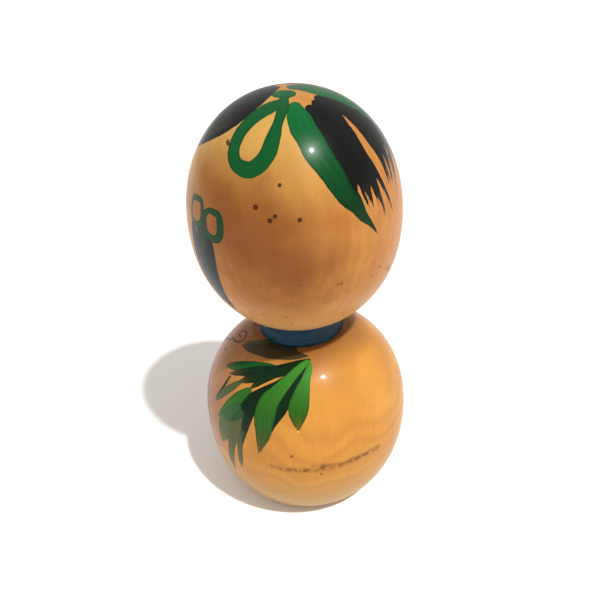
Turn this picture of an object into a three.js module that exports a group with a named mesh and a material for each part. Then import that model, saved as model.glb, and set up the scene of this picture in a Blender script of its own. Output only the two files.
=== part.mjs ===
// Kokeshi doll: a turned wooden head that turns on a peg, over a turned wooden body with a painted neck collar.
// Millimetres, +Z up. The origin is the centre of the flat base, and the face looks along -Y.
import * as THREE from "three";

// Driving dimensions of the body
const bodyRadius = 30.1; // at its widest
const shoulderRise = 30; // how far the oval above the widest place would reach if the neck did not cut it
const shoulderFullness = 2.27; // 2 is a true oval, more is squarer
const hipDrop = 33.4; // how far the oval below the widest place would reach if the base did not cut it
const hipFullness = 2.08;
const baseRadius = 19.9; // where the oval meets the floor
const baseBevel = 0.7; // turned edge round the flat base

// Driving dimensions of the head
const headRadius = 27.9; // at its widest
const crownRise = 32.3; // from the widest place up to the crown
const cheekDrop = 31.1; // how far the oval below the widest place would reach if the neck did not cut it
const headFullness = 2.12;

// Driving dimensions of the neck
const collarRadius = 12;
const collarHeight = 6.1;
const collarEdge = 0.6; // rounding of the collar's two rims
const shoulderLand = 2; // flat ring turned on the body round the collar
const headLand = 0.4; // flat ring under the head round the collar
const pegRadius = 5;
const pegInBody = 16; // depth that is glued into the body
const pegInHead = 17; // depth that the head turns on
const pegBevel = 1; // at both ends of the peg
const beadLength = 4; // of the swelling that keeps the head on
const beadSwell = 0.5; // how far the swelling stands out of the peg
const beadBelowTip = 4; // from the peg's upper end to the middle of the swelling

// Clearances
const glueGap = 0.15; // round a glued peg
const runningGap = 0.1; // round the peg where the head turns
const faceGap = 0.05; // between the collar and the head that turns on it
const endGap = 1; // beyond each end of the peg

// How finely the turned surfaces are divided
const segments = 40;
const ovalSteps = 12;
const rimSteps = 3;

const point = (radius, height) => new THREE.Vector2(radius, height);

// How far above its widest place an oval is when it has narrowed to a given radius.
function ovalHeight(radius, widest, reach, fullness) {
  return reach * (1 - (radius / widest) ** fullness) ** (1 / fullness);
}

// Points of an oval between two radii, on the side of its centre that the sign of its reach says.
function ovalArc(fromRadius, toRadius, { widest, reach, fullness, centre }) {
  const angleOf = (radius) => Math.acos((radius / widest) ** (fullness / 2));
  const from = angleOf(fromRadius);
  const to = angleOf(toRadius);
  return Array.from({ length: ovalSteps + 1 }, (_, i) => {
    const angle = from + ((to - from) * i) / ovalSteps;
    const across = Math.max(Math.cos(angle), 0);
    const along = Math.max(Math.sin(angle), 0);
    return point(widest * across ** (2 / fullness), centre + reach * along ** (2 / fullness));
  });
}

// Heights up the doll, each worked out from the pieces below it
const bodyCentre = ovalHeight(baseRadius, bodyRadius, hipDrop, hipFullness);
const shoulderRadius = collarRadius + shoulderLand;
const bodyTop = bodyCentre + ovalHeight(shoulderRadius, bodyRadius, shoulderRise, shoulderFullness);
const collarTop = bodyTop + collarHeight;
const headBottom = collarTop + faceGap;
const headLandRadius = collarRadius + headLand;
const headCentre = headBottom + ovalHeight(headLandRadius, headRadius, cheekDrop, headFullness);
const pegBottom = bodyTop - pegInBody;
const pegTop = headBottom + pegInHead;
const beadMiddle = pegTop - beadBelowTip;

// The body: one turning, flat at the base and at the land round the collar, bored from above for the peg.
function bodyProfile() {
  const hip = { widest: bodyRadius, reach: -hipDrop, fullness: hipFullness, centre: bodyCentre };
  const shoulder = { widest: bodyRadius, reach: shoulderRise, fullness: shoulderFullness, centre: bodyCentre };
  const boreRadius = pegRadius + glueGap;
  const boreEnd = pegBottom - endGap;
  const aboveBevel = ovalArc(baseRadius, bodyRadius, hip).filter((p) => p.y > baseBevel);
  return [
    point(0, 0),
    point(baseRadius - baseBevel, 0),
    ...aboveBevel,
    ...ovalArc(bodyRadius, shoulderRadius, shoulder).slice(1),
    point(boreRadius, bodyTop),
    point(boreRadius, boreEnd),
    point(0, boreEnd),
  ];
}

// The collar: a ring threaded on the peg and glued down on the body, with rounded rims.
function collarProfile() {
  const boreRadius = pegRadius + glueGap;
  const rimCentre = collarRadius - collarEdge;
  const rim = (height, startAngle) =>
    Array.from({ length: rimSteps + 1 }, (_, i) => {
      const angle = startAngle + ((Math.PI / 2) * i) / rimSteps;
      return point(rimCentre + collarEdge * Math.cos(angle), height + collarEdge * Math.sin(angle));
    });
  return [
    point(boreRadius, bodyTop),
    ...rim(bodyTop + collarEdge, -Math.PI / 2),
    ...rim(collarTop - collarEdge, 0),
    point(boreRadius, collarTop),
    point(boreRadius, bodyTop),
  ];
}

// The peg: a dowel glued into the body, with a swelling near its top that snaps into a groove in the head.
function pegProfile() {
  const halfBead = beadLength / 2;
  const beadRadius = pegRadius + beadSwell;
  return [
    point(0, pegBottom),
    point(pegRadius - pegBevel, pegBottom),
    point(pegRadius, pegBottom + pegBevel),
    point(pegRadius, beadMiddle - halfBead),
    point(beadRadius, beadMiddle - halfBead / 2),
    point(beadRadius, beadMiddle + halfBead / 2),
    point(pegRadius, beadMiddle + halfBead),
    point(pegRadius, pegTop - pegBevel),
    point(pegRadius - pegBevel, pegTop),
    point(0, pegTop),
  ];
}

// The head: one turning, flat where it meets the collar, bored from below with a groove for the peg's swelling.
function headProfile() {
  const cheek = { widest: headRadius, reach: -cheekDrop, fullness: headFullness, centre: headCentre };
  const crown = { widest: headRadius, reach: crownRise, fullness: headFullness, centre: headCentre };
  const boreRadius = pegRadius + runningGap;
  const grooveRadius = boreRadius + beadSwell;
  const halfGroove = beadLength / 2 + runningGap;
  const boreEnd = pegTop + endGap;
  return [
    point(0, boreEnd),
    point(boreRadius, boreEnd),
    point(boreRadius, beadMiddle + halfGroove),
    point(grooveRadius, beadMiddle + halfGroove / 2),
    point(grooveRadius, beadMiddle - halfGroove / 2),
    point(boreRadius, beadMiddle - halfGroove),
    point(boreRadius, headBottom),
    ...ovalArc(headLandRadius, headRadius, cheek),
    ...ovalArc(headRadius, 0, crown).slice(1),
  ];
}

// A named mesh from a profile of (radius, height) points, turned about the Z axis.
function turned(name, profile, material) {
  const geometry = new THREE.LatheGeometry(profile, segments);
  geometry.rotateX(Math.PI / 2);
  const mesh = new THREE.Mesh(geometry, material);
  mesh.name = name;
  return mesh;
}

const varnishedHead = new THREE.MeshStandardMaterial({ color: 0xc98a45, roughness: 0.3, metalness: 0 });
const varnishedBody = new THREE.MeshStandardMaterial({ color: 0xd89a4a, roughness: 0.3, metalness: 0 });
const bluePaint = new THREE.MeshStandardMaterial({ color: 0x1f4f77, roughness: 0.35, metalness: 0 });
const bareDowel = new THREE.MeshStandardMaterial({ color: 0xd9b47c, roughness: 0.6, metalness: 0 });

const doll = new THREE.Group();
doll.add(turned("body", bodyProfile(), varnishedBody));
doll.add(turned("neck_collar", collarProfile(), bluePaint));
doll.add(turned("neck_peg", pegProfile(), bareDowel));
doll.add(turned("head", headProfile(), varnishedHead));

export default doll;
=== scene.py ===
"""A kokeshi doll of turned and painted wood, seen from behind its left shoulder: the round body with its
leaf spray, the blue neck collar, the hidden peg, and the round head with its hair, bow and side locks.

The doll stands on the floor at the origin, +Z up, and faces -Y. A bearing is an angle round the doll in
degrees: 0 is the way the face looks and 90 is the doll's left. A latitude is an angle up one of its balls in
degrees: 0 is the ball's widest place and 90 is its top.
"""
import math
from collections import namedtuple

import bmesh
import bpy
import numpy as np
from mathutils import Matrix, Vector


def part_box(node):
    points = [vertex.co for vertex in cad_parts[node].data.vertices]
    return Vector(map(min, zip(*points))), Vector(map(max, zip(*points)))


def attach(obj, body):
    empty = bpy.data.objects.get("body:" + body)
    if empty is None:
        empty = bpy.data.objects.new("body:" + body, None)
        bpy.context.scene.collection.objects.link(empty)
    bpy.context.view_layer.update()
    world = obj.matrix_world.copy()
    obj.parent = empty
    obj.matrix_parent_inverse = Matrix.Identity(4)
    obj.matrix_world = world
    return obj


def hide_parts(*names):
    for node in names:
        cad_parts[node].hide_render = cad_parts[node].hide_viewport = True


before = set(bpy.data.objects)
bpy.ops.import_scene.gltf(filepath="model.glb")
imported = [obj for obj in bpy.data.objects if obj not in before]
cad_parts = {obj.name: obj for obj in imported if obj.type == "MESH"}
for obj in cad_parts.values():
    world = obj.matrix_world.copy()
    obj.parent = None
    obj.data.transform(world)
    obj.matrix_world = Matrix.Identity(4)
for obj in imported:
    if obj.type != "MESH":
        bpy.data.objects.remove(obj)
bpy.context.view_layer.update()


# The camera: held close, looking down over the doll's left shoulder from behind, with its edges a little off
# level. Its lens and place give the doll the strong perspective of a small thing seen from near by.
MM = 0.001
camera_bearing = math.radians(132)
camera_pitch = math.radians(-30.6)
camera_roll = math.radians(-3.3)
camera_distance = 154.1 * MM
camera_height = 152.4 * MM
camera = bpy.data.objects.new("camera", bpy.data.cameras.new("camera"))
bpy.context.scene.collection.objects.link(camera)
camera.data.lens = 38.0
camera.data.sensor_width = 36.0
camera.data.clip_start = 0.01
camera.location = (
    camera_distance * math.sin(camera_bearing),
    -camera_distance * math.cos(camera_bearing),
    camera_height,
)
level_look = Matrix.Rotation(camera_bearing, 4, "Z") @ Matrix.Rotation(math.pi / 2 + camera_pitch, 4, "X")
camera.rotation_euler = (level_look @ Matrix.Rotation(camera_roll, 4, "Z")).to_euler()
bpy.context.scene.camera = camera


# The body: a ball of pale close-grained wood, turned on a lathe with its grain upright and cut flat at the
# base and round the neck, then painted with watercolour and varnished. The varnish and the wood have
# yellowed with age.

# A ball has its widest radius, how far it would reach up and down from there if nothing cut it, how full its
# upper and lower halves are, where 2 is a true oval and more is squarer, and how high its widest place is.
Ball = namedtuple("Ball", "radius rise drop rise_fullness drop_fullness middle")


def on_ball(ball, bearing, latitude):
    """The point of a ball's surface at a bearing and a latitude in degrees."""
    turn, tilt = math.radians(bearing), math.radians(latitude)
    fullness = ball.rise_fullness if latitude >= 0 else ball.drop_fullness
    reach = ball.rise if latitude >= 0 else -ball.drop
    out = ball.radius * max(math.cos(tilt), 0) ** (2 / fullness)
    up = ball.middle + reach * abs(math.sin(tilt)) ** (2 / fullness)
    return Vector((out * math.sin(turn), -out * math.cos(turn), up))


def ball_outline(ball, low_radius, high_radius, spacing):
    """Evenly spaced (radius, height) points up a ball's side, from a low radius to a high one."""
    fine_steps = 2000
    low_tilt = -math.degrees(math.acos((low_radius / ball.radius) ** (ball.drop_fullness / 2)))
    high_tilt = math.degrees(math.acos((high_radius / ball.radius) ** (ball.rise_fullness / 2)))
    tilts = np.linspace(low_tilt, high_tilt, fine_steps)
    fine = np.array([on_ball(ball, 90, tilt) for tilt in tilts])
    along = np.concatenate([[0], np.cumsum(np.linalg.norm(np.diff(fine, axis=0), axis=1))])
    places = np.linspace(0, along[-1], round(along[-1] / spacing) + 1)
    return list(zip(np.interp(places, along, fine[:, 0]), np.interp(places, along, fine[:, 2])))


def turn_on_lathe(name, outline, steps, rounding, round_edges_at=()):
    """A mesh object spun from (radius, height) points, with the given corner circles of the outline rounded.
    A wedge is spun in that many steps, and then copied round and joined up."""
    wedges = 20
    weld_gap = 0.001 * MM
    circle_slack = 0.01 * MM
    shape = bmesh.new()
    points = [shape.verts.new((radius, 0, height)) for radius, height in outline]
    for low, high in zip(points, points[1:]):
        shape.edges.new((low, high))
    wedge = math.tau / wedges
    bmesh.ops.spin(
        shape, geom=shape.verts[:] + shape.edges[:], axis=(0, 0, 1), cent=(0, 0, 0),
        angle=wedge, steps=steps, use_merge=False,
    )
    bmesh.ops.spin(
        shape, geom=shape.verts[:] + shape.edges[:] + shape.faces[:], axis=(0, 0, 1), cent=(0, 0, 0),
        angle=(wedges - 1) * wedge, steps=wedges - 1, use_duplicate=True,
    )
    bmesh.ops.remove_doubles(shape, verts=shape.verts[:], dist=weld_gap)
    bmesh.ops.recalc_face_normals(shape, faces=shape.faces[:])

    corners = []
    for radius, height in round_edges_at:
        circle = {
            vert for vert in shape.verts
            if abs(vert.co.z - height) < circle_slack and abs(vert.co.xy.length - radius) < circle_slack
        }
        corners += {edge for vert in circle for edge in vert.link_edges if edge.other_vert(vert) in circle}
    bmesh.ops.bevel(
        shape, geom=corners, offset=rounding, affect="EDGES", segments=3, profile=0.5, material=-1,
    )
    for face in shape.faces:
        face.smooth = True
    mesh = bpy.data.meshes.new(name)
    shape.to_mesh(mesh)
    shape.free()
    mesh.set_sharp_from_angle(angle=math.radians(40))
    made = bpy.data.objects.new(name, mesh)
    bpy.context.scene.collection.objects.link(made)
    return made


def brush_path(ball, spots):
    """A smooth line over a ball through (bearing, latitude, half width in mm) spots, as rows of x, y, z and
    half width in metres. A single spot gives a dot."""
    dot_length = 0.01 * MM
    least_half_width = 0.02 * MM
    points_a_spot = 8
    knots = np.array([[*on_ball(ball, bearing, latitude), half * MM] for bearing, latitude, half in spots])
    if len(knots) == 1:
        return np.vstack([knots, knots + [0, 0, dot_length, 0]])
    closed = np.allclose(knots[0], knots[-1])
    before = knots[-2] if closed else 2 * knots[0] - knots[1]
    after = knots[1] if closed else 2 * knots[-1] - knots[-2]
    padded = np.vstack([before, knots, after])
    t = np.linspace(0, 1, points_a_spot, endpoint=False)[:, None]
    rows = []
    for a, b, c, d in zip(padded, padded[1:], padded[2:], padded[3:]):
        bend, twist = 2 * a - 5 * b + 4 * c - d, 3 * b - a - 3 * c + d
        rows.append(b + 0.5 * ((c - a) * t + bend * t**2 + twist * t**3))
    path = np.vstack([*rows, knots[-1:]])
    path[:, 3] = np.maximum(path[:, 3], least_half_width)
    return path


def brush_reach(places, path):
    """For each place, how far inside the stroke it is, how far to its left and how far along, all in mm."""
    start, step = path[:-1, :3], np.diff(path[:, :3], axis=0)
    length = np.linalg.norm(step, axis=1)
    travelled = np.concatenate([[0], np.cumsum(length)[:-1]])
    offset = places[:, None, :] - start[None]
    share = np.clip((offset * step).sum(2) / (length**2), 0, 1)
    aside = offset - share[..., None] * step
    distance = np.linalg.norm(aside, axis=2)
    half = path[:-1, 3] + share * np.diff(path[:, 3])
    inside = half - distance
    best = inside.argmax(1)
    rows = np.arange(len(places))
    outward = places - [0, 0, places[:, 2].mean()]
    left = np.sign((np.cross(outward, step[best]) * aside[rows, best]).sum(1))
    return (
        inside[rows, best] / MM,
        left * distance[rows, best] / MM,
        (travelled[best] + share[rows, best] * length[best]) / MM,
    )


def paint(piece, ball, layer, strokes, spread=1.0):
    """Writes one layer of brush strokes on a piece, the first stroke lowest, as three attributes in mm:
    LAYER_edge, how far inside the layer, out to a spread beyond it; LAYER_brush, how far inside the top
    stroke, across it and along it; and LAYER_tone, the top stroke's tone and how dry it is there. A stroke
    is (tone or first and last tone, dryness at its end, spots), and it runs dry over its last third."""
    stroke_gap = 40
    places = np.zeros(len(piece.data.vertices) * 3)
    piece.data.vertices.foreach_get("co", places)
    places = places.reshape(-1, 3)
    edge = np.full(len(places), -spread)
    brush = np.tile([-spread, 0.0, 0.0], (len(places), 1))
    tones = np.zeros((len(places), 3))
    for number, (tone, dryness, spots) in enumerate(strokes):
        path = brush_path(ball, spots)
        reach = path[:, 3].max() + spread * MM
        low, high = path[:, :3].min(0) - reach, path[:, :3].max(0) + reach
        near = np.flatnonzero(((places > low) & (places < high)).all(1))
        inside, across, along = brush_reach(places[near], path)
        share = along / (np.linalg.norm(np.diff(path[:, :3], axis=0), axis=1).sum() / MM)
        on_top = (inside > 0) | (inside > edge[near])
        edge[near] = np.maximum(edge[near], inside)
        chosen = near[on_top]
        # Each stroke has its own stretch of the bristle pattern, so that no two look alike.
        brush[chosen] = np.stack([inside, across, along + stroke_gap * number], 1)[on_top]
        first, last = tone if isinstance(tone, tuple) else (tone, tone)
        shade = first + (last - first) * share
        dry = dryness * np.clip(share * 3 - 2, 0, 1) ** 2
        tones[chosen] = np.stack([shade, dry, 0 * share], 1)[on_top]
    distance = piece.data.attributes.new(f"{layer}_edge", "FLOAT", "POINT")
    distance.data.foreach_set("value", edge.astype(np.float32))
    for name, values in (("brush", brush), ("tone", tones)):
        attribute = piece.data.attributes.new(f"{layer}_{name}", "FLOAT_VECTOR", "POINT")
        attribute.data.foreach_set("vector", values.astype(np.float32).ravel())


def mirrored(strokes, about, lower=0):
    """The same strokes on the doll's other side of the upright plane through a bearing, and lower down."""
    return [
        (tone, dryness, [(2 * about - bearing, latitude - lower, half) for bearing, latitude, half in spots])
        for tone, dryness, spots in strokes
    ]


def colour(code):
    """A linear colour from an sRGB hex code."""
    shares = [int(code[i:i + 2], 16) / 255 for i in (1, 3, 5)]
    return tuple(s / 12.92 if s <= 0.04045 else ((s + 0.055) / 1.055) ** 2.4 for s in shares) + (1.0,)


def per_mm(size):
    """The texture scale on Object coordinates, in metres, that gives features of this size in mm."""
    return 1000 / size


def new_material(name):
    """An empty node material, and its shader."""
    material = bpy.data.materials.new(name)
    material.use_nodes = True
    return material, material.node_tree.nodes["Principled BSDF"]


def add(tree, kind, output, links, **settings):
    """Adds a shader node with its settings, and links or sets its inputs by name or number. Gives the output
    of that name or number, or all the outputs where it is None. Map Range takes a value in 0, its range in 1
    and 2 and what they become in 3 and 4. A colour Mix takes a share in 0 and its colours in 6 and 7, and
    gives 2."""
    made = tree.nodes.new("ShaderNode" + kind)
    for name, value in settings.items():
        setattr(made, name, value)
    for socket, value in links.items():
        if isinstance(value, bpy.types.NodeSocket):
            tree.links.new(value, made.inputs[socket])
        else:
            made.inputs[socket].default_value = value
    return made.outputs if output is None else made.outputs[output]


def wood_colours(tree, light, dark, pith, lean, ring_gap, ring_share, fibre_share):
    """The colours of turned wood: growth rings round a pith at a place and a lean, and upright fibres. Gives
    the place on the piece too. The fibres are 0.9 mm across, coarser than real ones, so that they show."""
    place = add(tree, "TexCoord", "Object", {})
    ring_place = add(
        tree, "Mapping", 0, {"Vector": place, "Location": pith, "Rotation": lean}, vector_type="TEXTURE",
    )
    # A wave's rings are a twentieth of a turn apart at a scale of 1.
    rings = add(
        tree, "TexWave", "Fac",
        {"Vector": ring_place, "Scale": per_mm(ring_gap) * math.tau / 20, "Distortion": 7.0, "Detail": 1.5,
         "Detail Scale": 0.8, "Detail Roughness": 0.5},
        wave_type="RINGS", rings_direction="Z",
    )
    fibre_place = add(tree, "Mapping", 0, {"Vector": place, "Scale": (1, 1, 0.07)})
    fibres = add(tree, "TexNoise", "Fac", {"Vector": fibre_place, "Scale": per_mm(0.9), "Detail": 4.0})
    ring_depth = add(tree, "MapRange", 0, {0: rings, 1: 0.1, 2: 1.0, 4: ring_share})
    fibre_depth = add(tree, "MapRange", 0, {0: fibres, 1: 0.42, 2: 0.75, 4: fibre_share})
    ringed = add(tree, "Mix", 2, {0: ring_depth, 6: light, 7: dark}, data_type="RGBA")
    return place, add(tree, "Mix", 2, {0: fibre_depth, 6: ringed, 7: dark}, data_type="RGBA")


def clouded(tree, place, surface, size, tint, low, high, share):
    """Soft patches of a tint over a colour, of about this size in millimetres."""
    clouds = add(tree, "TexNoise", "Fac", {"Vector": place, "Scale": per_mm(size), "Detail": 4.0})
    depth = add(tree, "MapRange", 0, {0: clouds, 1: low, 2: high, 4: share})
    return add(tree, "Mix", 2, {0: depth, 6: surface, 7: tint}, data_type="RGBA")


def painted_over(tree, under, layer, place, wet, thick, opacity, bristles=1.6, rim=0.22, fade=0.3):
    """A layer of watercolour over a colour: crisp edges, streaks where the brush ran dry, darker where it
    pooled. Its colour goes from wet to thick by each stroke's tone. Gives the new colour and where the paint
    lies."""
    across_streaks, along_streaks = 2.6, 0.09
    edge = add(tree, "Attribute", "Fac", {}, attribute_name=f"{layer}_edge")
    brush = add(tree, "Attribute", "Vector", {}, attribute_name=f"{layer}_brush")
    tone = add(tree, "Attribute", "Vector", {}, attribute_name=f"{layer}_tone")
    own_edge = add(tree, "SeparateXYZ", 0, {0: brush})
    shade, dry, _ = add(tree, "SeparateXYZ", None, {0: tone})

    # The bristles draw streaks 0.4 mm apart across a stroke and 11 mm long, and lift off where it runs
    # dry. The edge wanders by a tenth of a millimetre, as a hand does.
    streak_scale = (0, across_streaks, along_streaks)
    streak_place = add(tree, "Mapping", 0, {"Vector": brush, "Scale": streak_scale})
    streaks = add(tree, "TexNoise", "Fac", {"Vector": streak_place, "Scale": 1.0, "Detail": 2.0})
    bristle_gaps = add(tree, "MapRange", 0, {0: streaks, 1: 0.38, 2: 0.66, 4: bristles})
    lifted = add(tree, "Math", 0, {0: dry, 1: bristle_gaps}, operation="MULTIPLY")
    wobble = add(tree, "TexNoise", "Fac", {"Vector": place, "Scale": per_mm(1.4), "Detail": 1.0})
    shaky = add(tree, "Math", 0, {0: wobble, 1: 0.24, 2: edge}, operation="MULTIPLY_ADD")
    left_inside = add(tree, "Math", 0, {0: shaky, 1: lifted}, operation="SUBTRACT")
    covered = add(tree, "MapRange", 0, {0: left_inside, 1: 0.06, 2: 0.18})

    # The paint is deeper in some streaks and in a rim 0.6 mm wide where it dried last.
    streaky = add(tree, "MapRange", 0, {0: streaks, 1: 0.3, 2: 0.7, 3: -0.1, 4: 0.1})
    pooled = add(tree, "MapRange", 0, {0: own_edge, 1: 0.0, 2: 0.6, 3: rim, 4: 0.0})
    streaky_shade = add(tree, "Math", 0, {0: shade, 1: streaky}, operation="ADD")
    depth = add(tree, "Math", 0, {0: streaky_shade, 1: pooled}, operation="ADD")
    pigment = add(tree, "Mix", 2, {0: depth, 6: wet, 7: thick}, data_type="RGBA")
    thinned = add(tree, "Math", 0, {0: dry, 1: -fade * opacity, 2: opacity}, operation="MULTIPLY_ADD")
    share = add(tree, "Math", 0, {0: covered, 1: thinned}, operation="MULTIPLY")
    return add(tree, "Mix", 2, {0: share, 6: under, 7: pigment}, data_type="RGBA"), covered


def varnish(tree, shader, place, covered):
    """Clear varnish over wood and paint: a glossy coat with a faint orange peel, over a duller ground."""
    peel = add(tree, "TexNoise", "Fac", {"Vector": place, "Scale": per_mm(2.6), "Detail": 1.0})
    bump = add(tree, "Bump", 0, {"Height": peel, "Strength": 0.05, "Distance": 0.05 * MM})
    roughness = add(tree, "MapRange", 0, {0: covered, 3: 0.36, 4: 0.3})
    tree.links.new(bump, shader.inputs["Coat Normal"])
    tree.links.new(bump, shader.inputs["Normal"])
    tree.links.new(roughness, shader.inputs["Roughness"])
    shader.inputs["IOR"].default_value = 1.45
    shader.inputs["Specular IOR Level"].default_value = 0.12
    shader.inputs["Coat Weight"].default_value = 0.11
    shader.inputs["Coat Roughness"].default_value = 0.08
    shader.inputs["Coat IOR"].default_value = 1.45


body_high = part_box("body")[1]
base_flat_radius = 19.2 * MM
base_radius = 19.9 * MM
neck_land_radius = 14 * MM
bore_radius = 5.15 * MM
bore_floor = body_high.z - 17 * MM
body_rise = 30 * MM
body_rise_fullness = 2.27
body_hip_drop = 33.4 * MM
body_hip_fullness = 2.08
# The widest place is as high as the lower half reaches before it meets the floor at the base's radius.
base_share = 1 - (base_radius / body_high.x) ** body_hip_fullness
body_middle = body_hip_drop * base_share ** (1 / body_hip_fullness)
body_ball = Ball(
    body_high.x, body_rise, body_hip_drop, body_rise_fullness, body_hip_fullness, body_middle,
)
base_bevel = 0.7 * MM
body_facet = 0.38 * MM
flat_rim = 0.6 * MM
body_sides = ball_outline(body_ball, base_radius, neck_land_radius, body_facet)
body_sides = [(radius, height) for radius, height in body_sides if height > base_bevel]
body_outline = [
    (0, 0), (base_flat_radius - flat_rim, 0), (base_flat_radius, 0), *body_sides[:-1],
    (neck_land_radius, body_high.z), (bore_radius + flat_rim, body_high.z), (bore_radius, body_high.z),
    (bore_radius, bore_floor), (0, bore_floor),
]
body = turn_on_lathe(
    "painted_body", body_outline, steps=23, rounding=0.25 * MM,
    round_edges_at=[(base_flat_radius, 0), (neck_land_radius, body_high.z), (bore_radius, body_high.z)],
)

# The leaf spray starts behind the left shoulder and fans down and forwards. Dark leaves were painted
# first, light ones over them, and thin watery ones last. The right side's spray mirrors it about a bearing
# a little left of the front, and hangs lower.
spray_middle = 18
spray_drop = 15
dark_leaves = [
    (0.1, 0.2, [(108, 54.5, 0.8), (98, 53.5, 1.2), (84, 50, 1.4), (73, 45.5, 1.4), (65, 42, 0.7)]),
    (0.9, 0.2, [
        (137, 60, 0.5), (127, 58, 1.1), (110, 53, 1.6), (96, 50, 1.6), (84, 46, 1.2), (76, 42, 0.7),
        (70, 38.7, 0.1),
    ]),
    (0.9, 0.2, [(128, 58, 0.8), (112, 53, 1.3), (98, 48, 1.5), (89, 43, 1.1), (81, 38.5, 0.1)]),
    (0.9, 0.1, [(118, 53, 0.8), (108, 50, 1.0), (101, 46.3, 1.1), (97, 42.5, 0.8), (93.3, 38.8, 0.1)]),
    (1.0, 0.0, [
        (134, 57, 0.5), (122, 51, 1.0), (114, 45.5, 1.4), (106, 39.5, 2.0), (99, 33.5, 2.5),
        (92, 27, 2.5), (85, 20, 1.8), (79.2, 15, 0.2),
    ]),
    (1.0, 0.2, [
        (113, 44, 1.1), (103, 36, 2.2), (98, 29, 2.0), (97, 23, 1.6), (96, 17, 1.2), (95, 10, 0.7),
        (94.5, 6, 0.1),
    ]),
    (0.95, 0.0, [
        (136.5, 57.5, 0.5), (133, 54, 0.9), (128, 49, 1.1), (124, 43, 1.3), (120, 38, 1.6),
        (117, 32, 1.6), (115, 27, 1.0), (112.5, 19.5, 0.1),
    ]),
    (0.8, 0.0, [(73.5, 38.5, 0.3), (72, 31, 0.5), (69.5, 25, 0.4), (67.5, 20, 0.1)]),
]
light_leaves = [
    (0.6, 0.0, [
        (94, 38.5, 0.7), (90.5, 35, 1.4), (86, 29, 1.9), (81, 22.5, 1.6), (76.5, 17, 0.8),
        (73.5, 13, 0.1),
    ]),
    # The long light leaves fade from light at the top to dark at the tips: partly the paint thickening,
    # partly a painted highlight near the top, round the lamp's shine.
    ((0.0, 1.1), 0.3, [
        (136, 59.5, 0.5), (130, 56.5, 1.0), (121.3, 49.8, 1.4), (113.8, 41.7, 2.0), (109, 34.8, 2.7),
        (107.5, 26.2, 3.0), (107.5, 18, 2.3), (106.3, 11, 1.3), (104.7, 4.5, 0.1),
    ]),
    ((-0.1, 1.05), 0.3, [
        (138, 58, 0.3), (136, 54, 0.9), (133, 49, 1.2), (130, 42, 2.0), (127.5, 34, 2.7), (127, 29, 2.1),
        (127, 20.5, 0.1),
    ]),
]
thin_leaves = [
    (0.6, 0.2, [(102, 66.5, 0.8), (86, 65.5, 1.2), (72, 62.5, 1.1), (61, 58.5, 0.3)]),
    (1.3, 0.2, [
        (136, 62.5, 0.3), (120, 63.5, 1.6), (100, 63, 2.1), (84, 61.5, 1.9), (72, 59, 1.4),
        (60, 56, 0.3),
    ]),
    (0.5, 0.2, [(86, 41, 0.4), (80, 35, 1.1), (74, 28, 1.2), (69.5, 22, 0.6), (67, 18.5, 0.1)]),
    (0.4, 0.1, [(89, 26, 1.4), (85, 19, 2.8), (81, 12, 3.1), (79, 6, 2.2), (77.5, 1, 0.5)]),
    (0.6, 0.3, [
        (92, 24, 1.2), (89.5, 16, 2.1), (87.5, 8, 2.0), (86, 2, 1.4), (84.5, -7, 1.2), (84, -15, 0.3),
    ]),
    (0.6, 0.6, [(95, 14, 0.9), (93, 6, 1.0), (92.5, -1, 0.9), (91.5, -9, 0.3)]),
]

# The flower on the front: broad petals of thin mauve pink round a golden heart of two rings of dots, with
# small curls of brown ink above. One yellow dot fell on the wood behind.
heart_bearing = 8
heart_latitude = 11
curls_middle = 4
petals = [
    (0.3, 0.2, [(8, 20, 2.0), (2, 34, 5.0), (-4, 46, 3.4), (-6, 53, 0.6)]),
    (0.35, 0.2, [(14, 18, 2.0), (30, 30, 5.2), (42, 36, 4.2), (50, 39, 0.8)]),
    (0.25, 0.2, [(-2, 16, 2.0), (-20, 28, 5.2), (-34, 34, 4.0), (-43, 36, 0.8)]),
    (0.4, 0.2, [(16, 12, 2.0), (34, 16, 5.2), (50, 18, 5.4), (60, 17, 2.2)]),
    (0.35, 0.2, [(-4, 9, 2.0), (-24, 12, 5.2), (-42, 13, 5.0), (-54, 12, 1.4)]),
    (0.3, 0.2, [(14, 6, 2.0), (34, 2, 5.2), (56, -1, 5.0), (70, -1, 2.6), (78, -2, 0.6)]),
    (0.25, 0.2, [(-2, 4, 2.0), (-18, -6, 5.4), (-34, -14, 4.6), (-44, -18, 0.8)]),
    (0.35, 0.2, [(8, 2, 2.0), (8, -10, 5.6), (6, -24, 4.6), (4, -33, 0.8)]),
]
petals_behind = [(0.6, 0.2, [(12, 3, 2.0), (26, -10, 4.8), (38, -20, 4.0), (46, -26, 0.6)])]
stamens = []
for tone, wide, high, half, turn, dots in ((0.3, 9, 7, 0.9, 5.4, 8), (0.6, 3, 3, 1.1, 5.2, 5)):
    for a in np.linspace(0, turn, dots):
        dot = (heart_bearing + wide * math.sin(a), heart_latitude + high * math.cos(a), half)
        stamens.append((tone, 0.0, [dot]))
stamens.append((0.0, 0.0, [(127, 21, 0.32)]))
left_curls = [
    (0.5, 0.0, [
        (27, 40, 0.2), (33, 44, 0.32), (40, 48, 0.34), (41, 49.5, 0.3), (38.6, 49.9, 0.25),
        (43, 51, 0.34), (48.5, 52.5, 0.36), (54, 55, 0.38), (55.5, 57.5, 0.36), (53, 60, 0.34),
        (47.7, 60.9, 0.32), (42, 59.5, 0.32), (39.8, 57, 0.3), (43, 55.6, 0.28), (49, 57, 0.2),
    ]),
    (0.5, 0.0, [(46.9, 43.7, 0.5)]),
]
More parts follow.
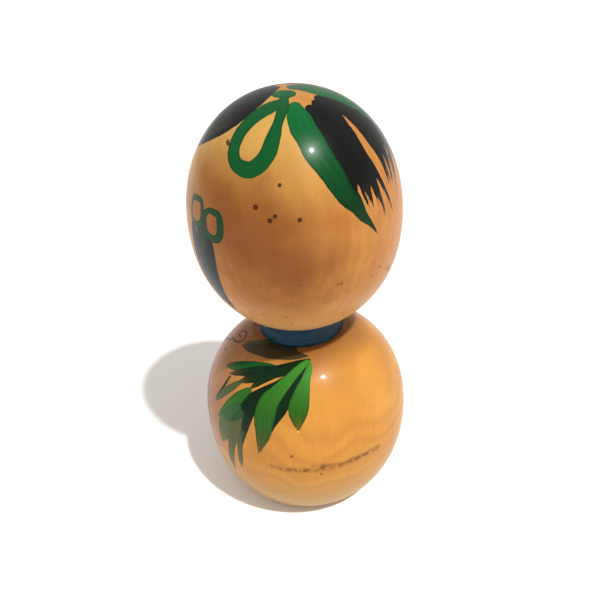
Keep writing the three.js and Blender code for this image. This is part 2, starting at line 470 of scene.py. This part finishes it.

# Marks on the body: the arc where a stand touched it and a few specks in the wood, which are wear, a
# soft brown painted shade down the front left, and a soft paler patch of painted light on the back, where
# the lamp falls.
stand_touches = [(0.5, 0.0, [(112, 0, 2.0), (140, 0, 3.0), (171, 1, 2.2)])]
body_painted_shade = [(0.5, 0.0, [(30, 52, 4.0), (56, 46, 6.0), (66, 30, 6.0), (68, 10, 5.0)])]
painted_light_patch = [(0.5, 0.0, [(178, 30, 4.0), (187, 45, 3.0)])]
specks = [(123, 7, 0.5), (138, -3, 0.4), (240, 20, 0.5)]

for layer, strokes, spread in (
    ("grime", stand_touches, 1.0),
    ("bloom_and_shade", body_painted_shade, 9.0),
    ("pale", painted_light_patch, 8.0),
    ("petal", petals_behind + petals, 1.0),
    ("stamen", stamens, 1.0),
    ("dark_leaf", mirrored(dark_leaves, spray_middle, lower=spray_drop) + dark_leaves, 1.0),
    ("light_leaf", mirrored(light_leaves, spray_middle, lower=spray_drop) + light_leaves, 1.0),
    ("thin_leaf", mirrored(thin_leaves, spray_middle, lower=spray_drop) + thin_leaves, 1.0),
    ("curl", left_curls + mirrored(left_curls, curls_middle), 1.0),
    ("speck", [(0.5, 0.0, [spot]) for spot in specks], 1.0),
):
    paint(body, body_ball, layer, strokes, spread)

# Dogwood: pale, close and even, turned to amber by age and varnish. It gives the eye a smooth honey ground
# with broad soft rings and short upright fibres, paler near the base, and a ring of grime where a stand
# once touched it. Painted shade browns the front left and, mixed with grime, the neck, and a little
# painted light pales the back where the lamp falls.
body_wood, shader = new_material("varnished_dogwood")
tree = body_wood.node_tree
wood_place, surface = wood_colours(
    tree, colour("#bc8236"), colour("#8e5a28"), pith=(0.001, -0.012, 0.016), lean=(0.75, 0.1, 0),
    ring_gap=3.2, ring_share=0.25, fibre_share=0.2,
)
surface = clouded(tree, wood_place, surface, 16, colour("#a8682c"), low=0.4, high=0.75, share=0.55)
# It is paler towards the base. Painted shade browns the front left, and a little painted light pales the
# back, where the lamp falls.
height = add(tree, "SeparateXYZ", 2, {0: wood_place})
low_down = add(tree, "MapRange", 0, {0: height, 1: 25 * MM, 2: 10 * MM, 4: 0.85})
surface = add(tree, "Mix", 2, {0: low_down, 6: surface, 7: colour("#a8844c")}, data_type="RGBA")
# Painted shade: the front left, which the lamp leaves in shade, is browner.
painted_shade_edge = add(tree, "Attribute", "Fac", {}, attribute_name="bloom_and_shade_edge")
painted_shade_share = add(
    tree, "MapRange", 0, {0: painted_shade_edge, 1: -8.0, 2: 6.0, 4: 0.6}, interpolation_type="SMOOTHSTEP",
)
surface = add(tree, "Mix", 2, {0: painted_shade_share, 6: surface, 7: colour("#7c5446")}, data_type="RGBA")
# Painted light: the back, which faces the lamp, is a little paler.
pale_edge = add(tree, "Attribute", "Fac", {}, attribute_name="pale_edge")
painted_light_share = add(
    tree, "MapRange", 0, {0: pale_edge, 1: -8.0, 2: 4.0, 4: 0.34}, interpolation_type="SMOOTHSTEP",
)
surface = add(tree, "Mix", 2, {0: painted_light_share, 6: surface, 7: colour("#d49e4a")}, data_type="RGBA")
# It is darker round the neck, where painted shade under the head is mixed with grime, and grime lies
# along the ragged line where a stand once touched the doll.
neck_grime_and_shade = add(tree, "MapRange", 0, {0: height, 1: 49 * MM, 2: 53 * MM, 4: 0.6})
surface = add(tree, "Mix", 2, {0: neck_grime_and_shade, 6: surface, 7: colour("#684026")}, data_type="RGBA")
ring_height = 27.7 * MM
ring_wander = add(tree, "TexNoise", "Fac", {"Vector": wood_place, "Scale": per_mm(6), "Detail": 4.0})
shaky_height = add(tree, "Math", 0, {0: ring_wander, 1: 4 * MM, 2: height}, operation="MULTIPLY_ADD")
ring_offset = add(tree, "Math", 0, {0: shaky_height, 1: ring_height}, operation="SUBTRACT")
ring_gap = add(tree, "Math", 0, {0: ring_offset}, operation="ABSOLUTE")
ring_nearness = add(tree, "MapRange", 0, {0: ring_gap, 1: 1.9 * MM, 2: 0.2 * MM})
grime_specks = add(tree, "TexNoise", "Fac", {"Vector": wood_place, "Scale": per_mm(1.8), "Detail": 5.0})
grime_share = add(tree, "MapRange", 0, {0: grime_specks, 1: 0.4, 2: 0.6, 3: 0.22, 4: 0.95})
ring_touch = add(tree, "Attribute", "Fac", {}, attribute_name="grime_edge")
touch_share = add(tree, "MapRange", 0, {0: ring_touch, 1: 0.0, 2: 1.5})
ring_grime = add(tree, "Math", 0, {0: ring_nearness, 1: grime_share}, operation="MULTIPLY")
ring_mark = add(tree, "Math", 0, {0: ring_grime, 1: touch_share}, operation="MULTIPLY")
surface = add(tree, "Mix", 2, {0: ring_mark, 6: surface, 7: colour("#6a3f14")}, data_type="RGBA")
# The paint, the lowest layer first.
surface, _ = painted_over(
    tree, surface, "petal", wood_place, colour("#a87a70"), colour("#6c3836"), 0.75, rim=0.7,
)
surface, _ = painted_over(tree, surface, "stamen", wood_place, colour("#e8b63a"), colour("#c8871e"), 0.95)
surface, on_dark = painted_over(
    tree, surface, "dark_leaf", wood_place, colour("#0e4a1a"), colour("#031a08"), 1.0, fade=1.2,
)
surface, on_light = painted_over(
    tree, surface, "light_leaf", wood_place, colour("#387a24"), colour("#0c3606"), 0.995, fade=1.0,
)
surface, _ = painted_over(
    tree, surface, "thin_leaf", wood_place, colour("#2a6030"), colour("#14261a"), 0.88, fade=1.2,
)
surface, _ = painted_over(tree, surface, "curl", wood_place, colour("#52300f"), colour("#2e1608"), 0.95)
surface, _ = painted_over(tree, surface, "speck", wood_place, colour("#7a4a20"), colour("#5a3416"), 0.8)
tree.links.new(surface, shader.inputs["Base Color"])
varnish(tree, shader, wood_place, add(tree, "Math", 0, {0: on_dark, 1: on_light}, operation="MAXIMUM"))
body.data.materials.append(body_wood)
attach(body, "base")
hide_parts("body")


# The collar: a short ring of the same wood, turned with a slight waist and rounded rims, and painted blue
# before it was glued down on the body round the peg.
collar_low, collar_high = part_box("neck_collar")
collar_radius = collar_high.x
collar_waist = 0.25 * MM
collar_rim = 1 * MM
collar_height = collar_high.z - collar_low.z
collar_side = [
    (collar_radius - collar_waist * math.sin(math.pi * share), collar_low.z + share * collar_height)
    for share in np.linspace(0, 1, 13)
]
collar_outline = [
    (bore_radius, collar_low.z), (collar_radius - collar_rim, collar_low.z), *collar_side,
    (collar_radius - collar_rim, collar_high.z), (bore_radius, collar_high.z), (bore_radius, collar_low.z),
]
collar = turn_on_lathe(
    "blue_collar", collar_outline, steps=10, rounding=0.5 * MM,
    round_edges_at=[(collar_radius, collar_low.z), (collar_radius, collar_high.z)],
)
# Enamel on wood: brushed on by hand as the ring turned. It gives the eye a deep teal blue with fine lines
# round it and thinner, lighter patches.
collar_paint, shader = new_material("blue_enamel_on_wood")
tree = collar_paint.node_tree
collar_place = add(tree, "TexCoord", "Object", {})
round_brush = add(tree, "Mapping", 0, {"Vector": collar_place, "Scale": (0.15, 0.15, 1)})
brush_lines = add(tree, "TexNoise", "Fac", {"Vector": round_brush, "Scale": per_mm(0.5), "Detail": 3.0})
line_depth = add(tree, "MapRange", 0, {0: brush_lines, 1: 0.3, 2: 0.7})
patches = add(tree, "TexNoise", "Fac", {"Vector": collar_place, "Scale": per_mm(4), "Detail": 3.0})
patch_depth = add(tree, "MapRange", 0, {0: patches, 1: 0.5, 2: 0.8, 4: 0.5})
blue = add(tree, "Mix", 2, {0: line_depth, 6: colour("#0b3c52"), 7: colour("#07222c")}, data_type="RGBA")
blue = add(tree, "Mix", 2, {0: patch_depth, 6: blue, 7: colour("#10485e")}, data_type="RGBA")
tree.links.new(blue, shader.inputs["Base Color"])
varnish(tree, shader, collar_place, patches)
collar.data.materials.append(collar_paint)
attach(collar, "base")
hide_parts("neck_collar")


# The peg: a beech dowel glued into the body, turned with a slight swelling near its top that snaps into
# the head. It is bare and sanded, and the head has burnished it where it turns.
peg_low, peg_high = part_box("neck_peg")
peg_radius = 5 * MM
bead_middle = peg_high.z - 4 * MM
bead_half = 2 * MM
bead_swell = 0.5 * MM
peg_bevel = 1 * MM
bead = [
    (peg_radius + bead_swell * (0.5 + 0.5 * math.cos(math.pi * share)), bead_middle + share * bead_half)
    for share in np.linspace(-1, 1, 13)
]
peg_outline = [
    (0, peg_low.z), (peg_radius - peg_bevel, peg_low.z), (peg_radius, peg_low.z + peg_bevel), *bead,
    (peg_radius, peg_high.z - peg_bevel), (peg_radius - peg_bevel, peg_high.z), (0, peg_high.z),
]
peg = turn_on_lathe(
    "neck_dowel", peg_outline, steps=5, rounding=0.2 * MM,
    round_edges_at=[(peg_radius - peg_bevel, peg_high.z)],
)
# Beech, sanded and never varnished: it gives the eye a pale pinkish tan, dull, with fine upright flecks.
peg_wood, shader = new_material("sanded_beech")
tree = peg_wood.node_tree
_, surface = wood_colours(
    tree, colour("#d8b484"), colour("#b08452"), pith=(0.02, 0.01, 0), lean=(0.05, 0, 0),
    ring_gap=1.6, ring_share=0.4, fibre_share=0.5,
)
tree.links.new(surface, shader.inputs["Base Color"])
shader.inputs["Roughness"].default_value = 0.55
peg.data.materials.append(peg_wood)
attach(peg, "base")
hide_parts("neck_peg")


# The head: a taller ball of the same wood, flat where it meets the collar and bored from below for the
# peg. The hair, the green bow and the face are painted on it, and it is varnished. It is darker and
# blotched with age.
head_low, head_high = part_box("head")
head_land_radius = 12.4 * MM
head_rise = 32.3 * MM
head_drop = 31.1 * MM
head_fullness = 2.12
head_facet = 0.385 * MM
head_bore_radius = 5.1 * MM
head_bore_top = peg_high.z + 1 * MM
groove_radius = 5.6 * MM
groove_half = 2.1 * MM
head_ball = Ball(head_high.x, head_rise, head_drop, head_fullness, head_fullness, head_high.z - head_rise)
head_sides = ball_outline(head_ball, head_land_radius, 0, head_facet)
head_outline = [
    (0, head_bore_top), (head_bore_radius, head_bore_top), (head_bore_radius, bead_middle + groove_half),
    (groove_radius, bead_middle + groove_half / 2), (groove_radius, bead_middle - groove_half / 2),
    (head_bore_radius, bead_middle - groove_half), (head_bore_radius, head_low.z),
    (head_land_radius - flat_rim, head_low.z), (head_land_radius, head_low.z), *head_sides[1:],
]
head = turn_on_lathe(
    "painted_head", head_outline, steps=23, rounding=0.2 * MM,
    round_edges_at=[(head_land_radius, head_low.z)],
)

# The hair: a fringe combed forwards from the crown, two groups of strokes down the back that draw together
# at their tips, and a lock at each side of the face.
left_fringe_edge = [
    (0.6, 0.1, [
        (55, 84, 1.5), (84, 75, 1.8), (86, 66, 1.8), (80, 57, 1.9), (68, 49, 1.9), (50, 41, 1.8),
        (36, 36, 1.5), (24, 33, 0.6),
    ]),
]
fringe = left_fringe_edge + mirrored(left_fringe_edge, 0)
fringe_side = 76
for comb in range(-fringe_side, fringe_side + 1, 4):
    end = 31 + 22 * (abs(comb) / fringe_side) ** 2.4
    ragged = 1.5 * math.sin(comb * 1.7)
    fringe.append((0.6, 0.15, [
        (comb, 82, 1.3), (comb, 66, 1.8), (comb, end + 13, 1.9), (comb, end + 5, 1.2),
        (comb, end + ragged, 0.2),
    ]))
back_hair = [
    (0.6, 0.0, [
        (156, 65, 1.5), (155, 60, 1.5), (158, 45, 1.9), (161, 35, 1.8), (163.5, 28, 1.2), (165, 24, 0.3),
    ]),
    (0.7, 0.2, [
        (168, 67.5, 1.6), (166, 60, 1.5), (166, 45, 1.9), (168.5, 35, 1.9), (170.5, 28, 1.5),
        (172, 22, 1.0), (173.5, 15, 0.3),
    ]),
    (0.6, 0.2, [
        (179, 70, 1.7), (176, 60, 1.6), (173.5, 45, 1.9), (175.5, 35, 1.75), (177, 27, 1.3),
        (178.5, 20, 0.9), (180.5, 14, 0.5), (181.3, 9, 0.25),
    ]),
    (0.6, 0.2, [
        (179, 50, 0.4), (178, 38, 0.8), (181, 29, 0.8), (183.5, 22, 0.65), (186.5, 15, 0.4),
        (189.8, 7, 0.25),
    ]),
    (0.6, 0.8, [(162, 28, 0.5), (165, 22, 0.35), (168, 17, 0.25)]),
    (0.6, 0.8, [(167, 28, 0.5), (169, 20, 0.35), (171.5, 13, 0.25)]),
    (0.6, 0.6, [(174, 28, 0.5), (176, 21, 0.3), (177.5, 15, 0.25)]),
    (0.6, 0.2, [
        (189, 70, 1.5), (188, 60, 1.7), (190, 50, 1.85), (190.5, 42, 1.75), (191, 36, 1.4),
        (190.8, 30, 0.8), (190, 20, 0.25),
    ]),
    (0.7, 0.4, [
        (196, 69, 1.5), (198, 60, 1.6), (199, 50, 1.9), (199, 42, 1.9), (198.5, 34, 1.5),
        (196.5, 27, 0.8), (194, 17, 0.25),
    ]),
    (0.6, 0.4, [
        (206, 64, 1.6), (207, 58, 1.7), (208, 50, 1.9), (208, 42, 1.9), (206.5, 33, 1.4),
        (203.5, 26, 0.7), (199.5, 15, 0.25),
    ]),
    (0.6, 0.4, [
        (215, 58, 1.5), (216, 50, 1.9), (216, 42, 1.7), (213, 32, 1.2), (209, 23, 0.5), (205, 15, 0.25),
    ]),
    (0.6, 0.8, [(193.5, 34, 0.4), (192.5, 27, 0.3), (192, 17, 0.25)]),
    (0.6, 0.8, [(202, 30, 0.5), (199.5, 22, 0.3), (197, 13, 0.25)]),
]
left_lock = [
    (0.5, 0.3, [(70, 6, 1.3), (70.3, 0, 1.85), (71, -12, 1.8), (74, -22, 1.3), (80, -32, 0.2)]),
    (0.6, 0.3, [
        (77, 6.5, 1.5), (77.2, 0, 1.95), (77.5, -12, 1.95), (79.5, -22, 1.6), (83.5, -32, 0.5),
        (86, -38, 0.1),
    ]),
    (0.7, 0.2, [
        (84, 3.5, 1.5), (84.1, -1, 1.9), (83.8, -12, 1.85), (84.3, -22, 1.4), (85.8, -31, 0.7),
        (88, -38, 0.1),
    ]),
]

# The bow: green ribbon tied at the crown, a loop to each side, two long tails down the back over the hair,
# and a small bow at the top of each side lock.
left_tail = [
    ((0.15, 1.3), 0.0, [
        (139.5, 68.8, 1.35), (139, 66, 1.9), (140, 62, 2.5), (141, 59, 2.85), (142, 54, 3.0),
        (145, 49, 3.05), (147, 43, 3.1), (150, 38, 2.95), (153, 33, 2.8), (156, 27, 2.55),
        (159, 22, 2.3), (163, 18, 1.9), (166, 13, 1.3), (170, 9, 0.7), (175, 3, 0.1),
    ]),
]
right_tail = [
    ((0.3, 1.1), 0.0, [
        (184, 82.5, 1.4), (203, 76, 3.0), (212, 69, 3.6), (216, 62, 3.6), (219, 56, 3.5), (221, 49, 3.3),
        (224, 43, 3.1), (227, 37, 3.0), (229, 31, 2.8), (228, 25, 2.5), (226, 19, 2.1), (222, 13, 1.6),
        (217, 7, 0.9), (212, 1, 0.1),
    ]),
]
left_loop = [
    (0.55, 0.0, [
        (124, 72, 0.9), (116, 70.5, 1.6), (108, 67, 2.1), (100, 62, 1.95), (95, 56, 1.8), (93, 50, 1.75),
        (94, 43, 1.6), (98, 38, 1.6), (104, 36, 1.8), (109, 36, 1.9), (114, 39, 2.0), (118, 44, 1.9),
        (120, 51, 1.65), (121.8, 57, 1.2), (123.4, 62, 1.2), (125, 67, 1.35), (125.5, 72, 1.2),
    ]),
]
knot = [
    (0.5, 0.0, [(188, 86, 2.2), (212, 83.5, 2.5), (236, 80, 2.2)]),
    (0.45, 0.0, [(114, 79.5, 2.05), (130, 79.2, 2.05)]),
    (0.45, 0.0, [(125, 75, 1.1), (125.5, 70, 0.8)]),
]
left_lock_bow = [
    (0.95, 0.0, [(80.5, 14, 1.0), (80.3, 7, 1.7), (79, 0, 1.1)]),
    (0.8, 0.0, [
        (73, 18.7, 0.75), (77.8, 18.6, 0.75), (79.3, 15.5, 0.7), (79, 10.5, 0.8), (76, 8, 0.85),
        (71, 8, 0.8), (68.2, 10.5, 0.6), (68.1, 16, 0.6), (70, 18.4, 0.7), (73, 18.7, 0.75),
    ]),
    (0.8, 0.0, [
        (87.5, 16.1, 0.75), (92, 15.2, 0.95), (93.2, 12, 1.05), (93, 8, 1.05), (90.8, 5.3, 1.0),
        (87, 5, 0.95), (83.5, 6.5, 0.8), (82.2, 9, 0.65), (82.2, 13, 0.65), (84, 15.6, 0.7),
        (87.5, 16.1, 0.75),
    ]),
]

# The face: a calm one in a few strokes, with thin arched brows, long open eyes, a small nose drawn with a
# single stroke, and a small red mouth.
left_face = [
    (0.6, 0.0, [(9, 13, 0.15), (15, 16, 0.42), (23, 17, 0.42), (31, 14, 0.12)]),
    (0.6, 0.0, [(10, 1, 0.15), (15, 4, 0.5), (21, 5, 0.55), (27, 3.5, 0.35), (31, 1, 0.1)]),
    (0.6, 0.0, [(12, 0, 0.1), (19, -1.5, 0.22), (26, 0, 0.1)]),
    (0.6, 0.0, [(18.5, 1.4, 1.05)]),
]
nose = [(0.3, 0.0, [(-2.2, 2, 0.1), (-2.6, -5, 0.2), (-4.4, -9.5, 0.25), (-2.4, -11, 0.12)])]
lips = [
    (0.4, 0.0, [
        (-5, -17.2, 0.1), (-2.2, -16.4, 0.5), (0, -17.0, 0.4), (2.2, -16.4, 0.5), (5, -17.2, 0.1),
    ]),
    (0.5, 0.0, [(-3.6, -18.2, 0.1), (0, -19.2, 0.7), (3.6, -18.2, 0.1)]),
]

# Age and wear on the head: small knots and dents that the varnish darkened, and a soft brown bloom.
pores = [
    (113, 21, 0.65), (125, 30, 0.5), (120, 16, 0.6), (122.5, 17.8, 0.55), (134, 16, 0.55), (86, 46.5, 0.55),
    (87.5, 45.5, 0.5), (189, -18, 0.7), (190, -17, 0.5), (178, -12, 0.35),
    (-30, -30, 0.5), (230, -8, 0.5), (-60, 24, 0.45),
]
head_blooms = [
    (0.5, 0.0, [(84, 26, 6.0), (98, 16, 10.0), (112, 8, 12.0), (128, -3, 10.0)]),
    (0.5, 0.0, [(250, 14, 6.0), (262, -4, 8.0)]),
]

crown_middle = 184
crown_bow = left_tail + right_tail + left_loop + mirrored(left_loop, crown_middle) + knot
for layer, strokes, spread in (
    ("bloom_and_shade", head_blooms, 13.0),
    ("hair", fringe + back_hair, 1.0),
    ("lock", left_lock + mirrored(left_lock, 0), 1.0),
    ("ribbon", crown_bow + left_lock_bow + mirrored(left_lock_bow, 0), 1.0),
    ("ink", left_face + mirrored(left_face, 0) + nose, 1.0),
    ("lip", lips, 1.0),
    ("pore", [(0.5, 0.0, [spot]) for spot in pores], 1.0),
):
    paint(head, head_ball, layer, strokes, spread)

# The same dogwood, aged further: it gives the eye a brown bloom down the left side, a paler crown, and
# scattered flecks of dirt caught under the varnish.
head_wood, shader = new_material("aged_varnished_dogwood")
tree = head_wood.node_tree
head_place, surface = wood_colours(
    tree, colour("#b2783a"), colour("#86501e"), pith=(0.034, 0.024, 0.08), lean=(0.25, -0.2, 0),
    ring_gap=3.6, ring_share=0.16, fibre_share=0.25,
)
surface = clouded(tree, head_place, surface, 9, colour("#965820"), low=0.4, high=0.72, share=0.5)
# The crown is paler, most of all on the left. The underside is paler too: painted light thrown up
# from the bright floor.
left_side, depth_back, height = add(tree, "SeparateXYZ", None, {0: head_place})
crown_height = add(tree, "MapRange", 0, {0: height, 1: 96 * MM, 2: 114 * MM, 4: 0.75})
crown_side = add(tree, "MapRange", 0, {0: left_side, 1: 3 * MM, 2: 12 * MM, 3: 0.1, 4: 1.0})
crown_share = add(tree, "Math", 0, {0: crown_height, 1: crown_side}, operation="MULTIPLY")
surface = add(tree, "Mix", 2, {0: crown_share, 6: surface, 7: colour("#b8924a")}, data_type="RGBA")
floor_light_share = add(tree, "MapRange", 0, {0: height, 1: 76 * MM, 2: 62 * MM, 4: 0.8})
surface = add(tree, "Mix", 2, {0: floor_light_share, 6: surface, 7: colour("#c09464")}, data_type="RGBA")
# The brown bloom has a ragged edge.
bloom_and_shade_edge = add(tree, "Attribute", "Fac", {}, attribute_name="bloom_and_shade_edge")
bloom_wander = add(tree, "TexNoise", "Fac", {"Vector": head_place, "Scale": per_mm(8), "Detail": 5.0})
bloom_depth = add(tree, "Math", 0, {0: bloom_wander, 1: 14.0, 2: bloom_and_shade_edge}, operation="MULTIPLY_ADD")
bloom_share = add(
    tree, "MapRange", 0, {0: bloom_depth, 1: -3.0, 2: 17.0, 4: 0.8}, interpolation_type="SMOOTHSTEP",
)
surface = add(tree, "Mix", 2, {0: bloom_share, 6: surface, 7: colour("#6a3410")}, data_type="RGBA")
# The flecks lie in patches, low down and towards the back.
flecks = add(tree, "TexNoise", "Fac", {"Vector": head_place, "Scale": per_mm(1.3), "Detail": 2.0})
fleck_depth = add(tree, "MapRange", 0, {0: flecks, 1: 0.62, 2: 0.72, 4: 0.6})
fleck_patches = add(tree, "TexNoise", "Fac", {"Vector": head_place, "Scale": per_mm(13), "Detail": 1.0})
patch_share = add(tree, "MapRange", 0, {0: fleck_patches, 1: 0.42, 2: 0.55})
low_share = add(tree, "MapRange", 0, {0: height, 1: 88 * MM, 2: 80 * MM})
back_share = add(tree, "MapRange", 0, {0: depth_back, 1: -8 * MM, 2: 4 * MM})
low_back = add(tree, "Math", 0, {0: low_share, 1: back_share}, operation="MULTIPLY")
fleck_place = add(tree, "Math", 0, {0: patch_share, 1: low_back}, operation="MULTIPLY")
fleck_share = add(tree, "Math", 0, {0: fleck_depth, 1: fleck_place}, operation="MULTIPLY")
surface = add(tree, "Mix", 2, {0: fleck_share, 6: surface, 7: colour("#6a3a14")}, data_type="RGBA")
# The paint, the lowest layer first.
surface, on_hair = painted_over(
    tree, surface, "hair", head_place, colour("#12130f"), colour("#050605"), 1.0, bristles=2.2,
)
surface, _ = painted_over(
    tree, surface, "lock", head_place, colour("#142630"), colour("#060e14"), 1.0, bristles=2.0,
)
surface, on_ribbon = painted_over(
    tree, surface, "ribbon", head_place, colour("#05602a"), colour("#01280c"), 1.0,
)
surface, _ = painted_over(tree, surface, "ink", head_place, colour("#1c1a18"), colour("#0c0b0a"), 0.97)
surface, _ = painted_over(tree, surface, "lip", head_place, colour("#b02a22"), colour("#86160f"), 0.95)
surface, _ = painted_over(tree, surface, "pore", head_place, colour("#4a2008"), colour("#2a1004"), 0.9)
tree.links.new(surface, shader.inputs["Base Color"])
varnish(tree, shader, head_place, add(tree, "Math", 0, {0: on_hair, 1: on_ribbon}, operation="MAXIMUM"))
head.data.materials.append(head_wood)
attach(head, "head")
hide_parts("head")


# The floor: a wide plain sheet of paper that the doll stands on, brightly lit, under one lamp high behind
# the doll's head and an even white surround.
floor_mesh = bmesh.new()
bmesh.ops.create_circle(floor_mesh, cap_ends=True, segments=96, radius=4.0)
floor_data = bpy.data.meshes.new("floor")
floor_mesh.to_mesh(floor_data)
floor_mesh.free()
floor = bpy.data.objects.new("floor", floor_data)
bpy.context.scene.collection.objects.link(floor)
# Paper, matt and uncoated: it gives the eye a clean warm white with soft shadows and next to no gloss. A
# faint glow stands for the light that a real room would send back to it.
paper, shader = new_material("white_paper")
shader.inputs["Base Color"].default_value = colour("#f6f2ed")
shader.inputs["Roughness"].default_value = 0.8
shader.inputs["Emission Color"].default_value = colour("#fff7f0")
shader.inputs["Emission Strength"].default_value = 0.03
shader.inputs["Specular IOR Level"].default_value = 0.2
floor_data.materials.append(paper)

lamp_direction = Vector((0.095, 0.587, 0.965))
lamp = bpy.data.objects.new("lamp", bpy.data.lights.new("lamp", "SUN"))
bpy.context.scene.collection.objects.link(lamp)
lamp.data.energy = 3.4
lamp.data.angle = math.radians(2.6)
lamp.rotation_euler = lamp_direction.to_track_quat("Z", "Y").to_euler()
surround = bpy.data.worlds.new("surround")
surround.use_nodes = True
surround.node_tree.nodes["Background"].inputs["Color"].default_value = colour("#ffffff")
surround.node_tree.nodes["Background"].inputs["Strength"].default_value = 0.68
bpy.context.scene.world = surround
bpy.context.scene.view_settings.view_transform = "Standard"
